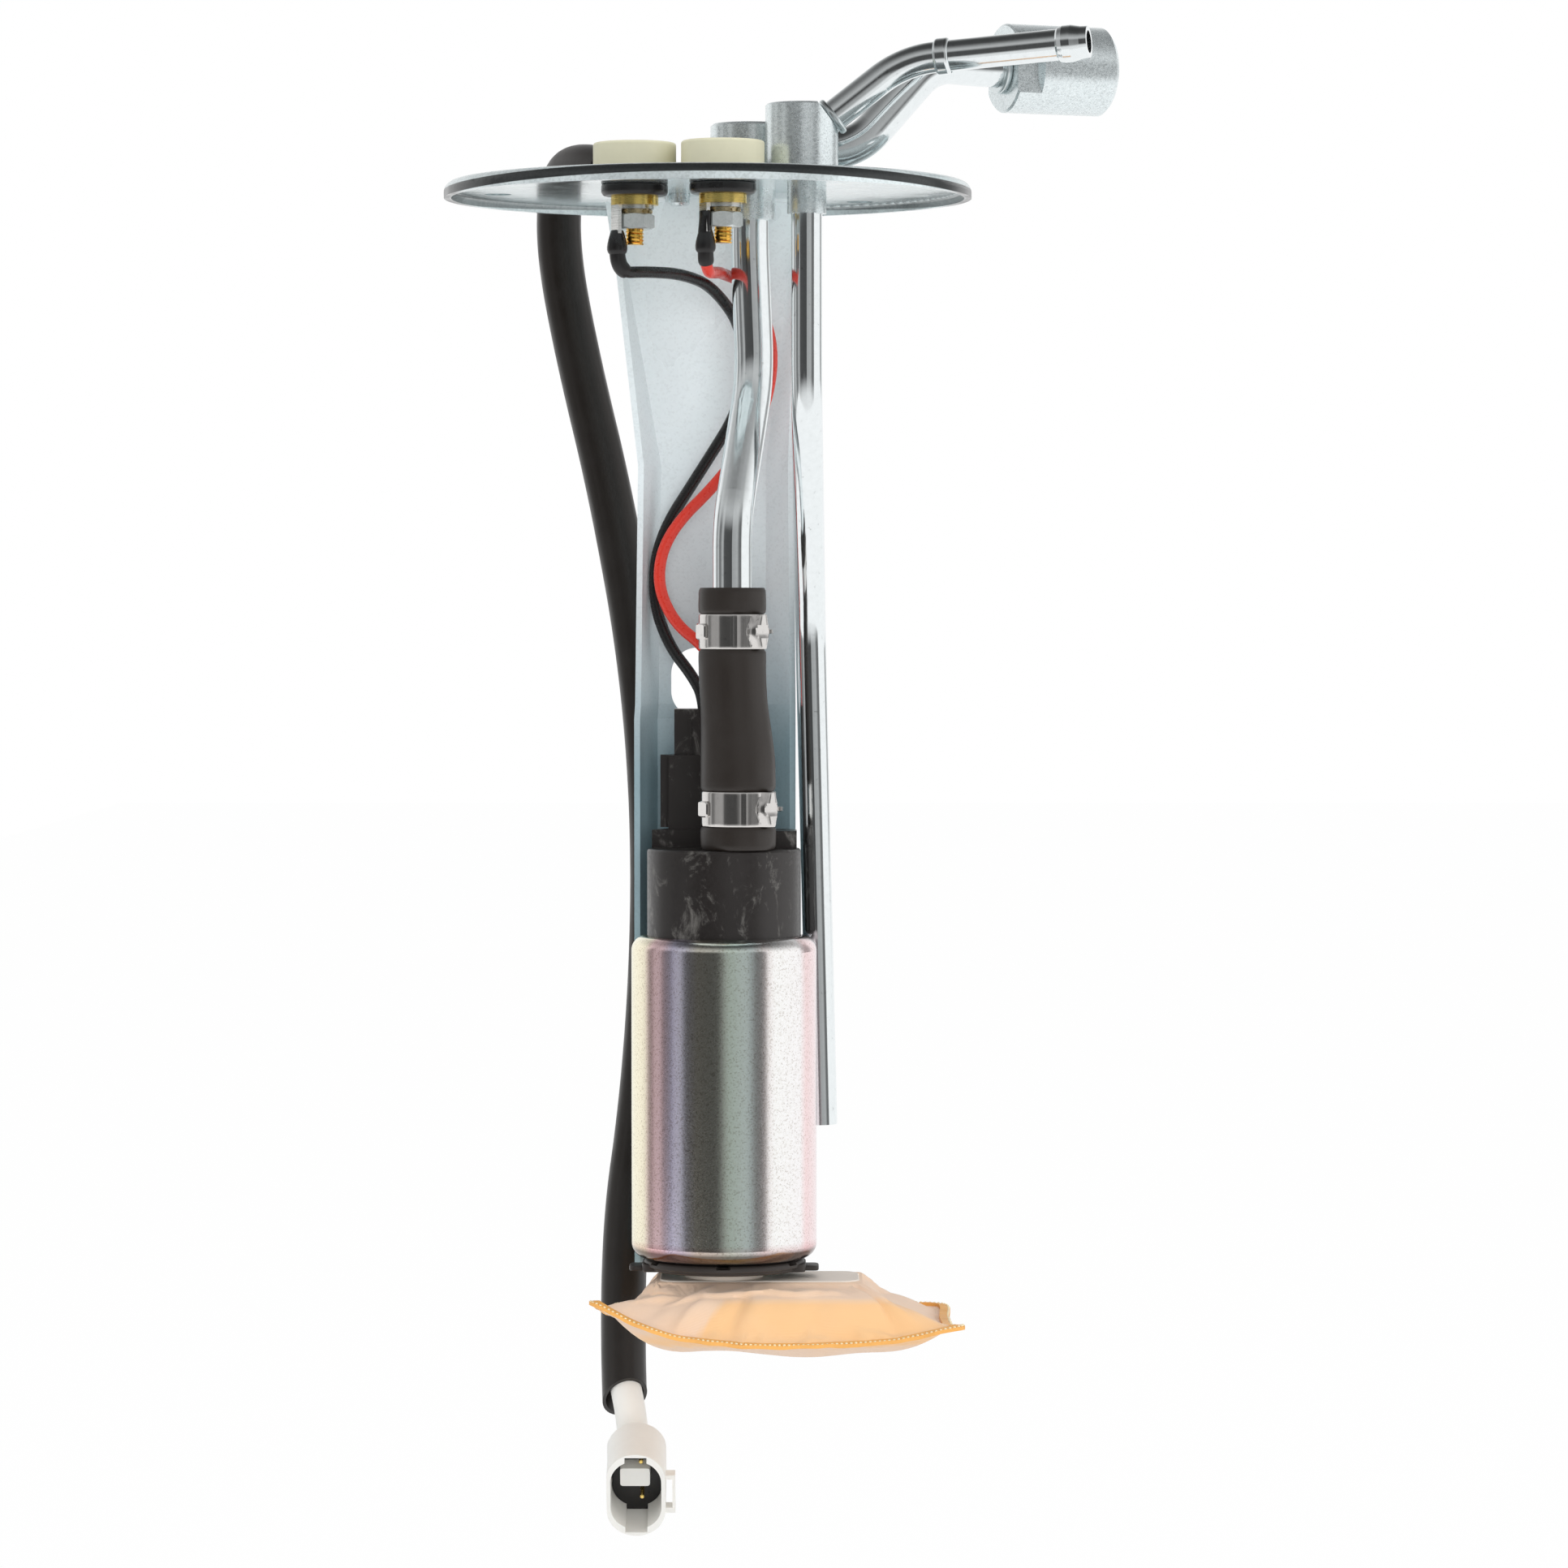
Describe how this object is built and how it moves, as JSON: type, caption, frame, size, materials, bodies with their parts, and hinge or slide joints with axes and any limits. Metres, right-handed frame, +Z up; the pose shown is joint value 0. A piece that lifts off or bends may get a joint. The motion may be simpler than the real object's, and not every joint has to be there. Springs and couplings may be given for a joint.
{
  "type": "fuel pump module",
  "caption": "In-tank fuel pump hung from a round bolted flange by a steel bracket, with supply and return lines, mesh filter sock, hose, terminals and wiring plug.",
  "frame": {"origin": "centre of the flange bolt circle on the flange underside", "axes": "+Z up out of the tank along the module, +X towards the fuel line union side, +Y towards the hanger bracket and harness side"},
  "size_m": [0.1389, 0.1125, 0.314],
  "materials": {
    "zinc_sheet": "satin, plated",
    "cast_plated": "matte, sparkling plate",
    "bright_tube": "bright",
    "braze": "satin",
    "spring_steel": "satin",
    "stainless": "polished",
    "yellow_chromate": "iridescent passivate",
    "black_plastic": "satin moulding",
    "ivory_plastic": "semi-matte",
    "white_plastic": "semi-matte",
    "cream_plastic": "semi-matte",
    "amber_mesh": "woven, translucent",
    "black_rubber": "satin",
    "hose_rubber": "matte",
    "black_sleeve": "matte",
    "black_wire": "gloss",
    "red_wire": "gloss",
    "plated_brass": "satin",
    "orange_brass": "bright thread",
    "copper": "enamelled or turned",
    "lamination": "matte",
    "ferrite": "matte",
    "carbon": "matte",
    "bearing_bronze": "matte, sintered"
  },
  "bodies": {
    "pump_module": {"bearing_lower": "bearing_bronze", "bearing_upper": "bearing_bronze", "braze_fillets": "braze", "check_spring": "spring_steel", "connector_housing": "white_plastic", "connector_pins": "plated_brass", "connector_seal": "black_rubber", "filter_frame": "cream_plastic", "filter_sock": "amber_mesh", "flange_plate": "zinc_sheet", "flange_rivet": "cast_plated", "fuel_hose": "hose_rubber", "hanger_bracket": "zinc_sheet", "harness_neck": "white_plastic", "harness_sleeve": "black_sleeve", "harness_tails": "black_wire", "hose_clamp_lower": "stainless", "hose_clamp_upper": "stainless", "inlet_cover": "black_plastic", "lead_black": "black_wire", "lead_red": "red_wire", "lug_boots": "black_rubber", "magnet_spring": "spring_steel", "magnets": "ferrite", "pump_can": "yellow_chromate", "pump_casing": "black_plastic", "pump_connector": "black_plastic", "pump_head": "black_plastic", "relief_plug": "plated_brass", "relief_spring": "spring_steel", "return_boss": "cast_plated", "return_nipple": "bright_tube", "return_tube": "bright_tube", "ring_lug_ground": "plated_brass", "ring_lug_supply": "plated_brass", "rubber_cushion": "black_rubber", "supply_boss": "cast_plated", "supply_pipe": "bright_tube", "supply_tube": "bright_tube", "terminal_bushes": "ivory_plastic", "terminal_caps": "ivory_plastic", "terminal_collars": "plated_brass", "terminal_nuts": "spring_steel", "terminal_seals": "black_rubber", "terminal_studs": "orange_brass", "terminal_washers": "spring_steel", "union_fitting": "cast_plated", "valve_retainer": "plated_brass"},
    "rotor": {"rotor_shaft": "spring_steel", "armature_core": "lamination", "armature_windings": "copper", "commutator": "copper", "impeller": "black_plastic"},
    "check_valve": {"check_poppet": "black_rubber"},
    "relief_valve": {"relief_ball": "spring_steel"},
    "brush_a": {"brush_left": "carbon"},
    "brush_b": {"brush_right": "carbon"}
  },
  "joints": [
    {"name": "rotor_spin", "type": "hinge", "parent": "pump_module", "child": "rotor", "pos_m": [0.0033, -0.003, -0.18], "axis": [0, 0, 1], "continuous": true},
    {"name": "check_valve_lift", "type": "slide", "parent": "pump_module", "child": "check_valve", "axis": [0, 0, 1], "range_m": [0, 0.0014], "stiffness_N_per_m": 120, "springref_m": -0.003, "deforming": ["check_spring"]},
    {"name": "relief_valve_lift", "type": "slide", "parent": "pump_module", "child": "relief_valve", "axis": [0, 0, 1], "range_m": [0, 0.0009], "stiffness_N_per_m": 150, "springref_m": -0.004, "deforming": ["relief_spring"]},
    {"name": "brush_a_wear", "type": "slide", "parent": "pump_module", "child": "brush_a", "axis": [-1, 0, 0], "range_m": [0, 0.0008], "stiffness_N_per_m": 100, "springref_m": -0.004},
    {"name": "brush_b_wear", "type": "slide", "parent": "pump_module", "child": "brush_b", "axis": [1, 0, 0], "range_m": [0, 0.0008], "stiffness_N_per_m": 100, "springref_m": -0.004}
  ]
}
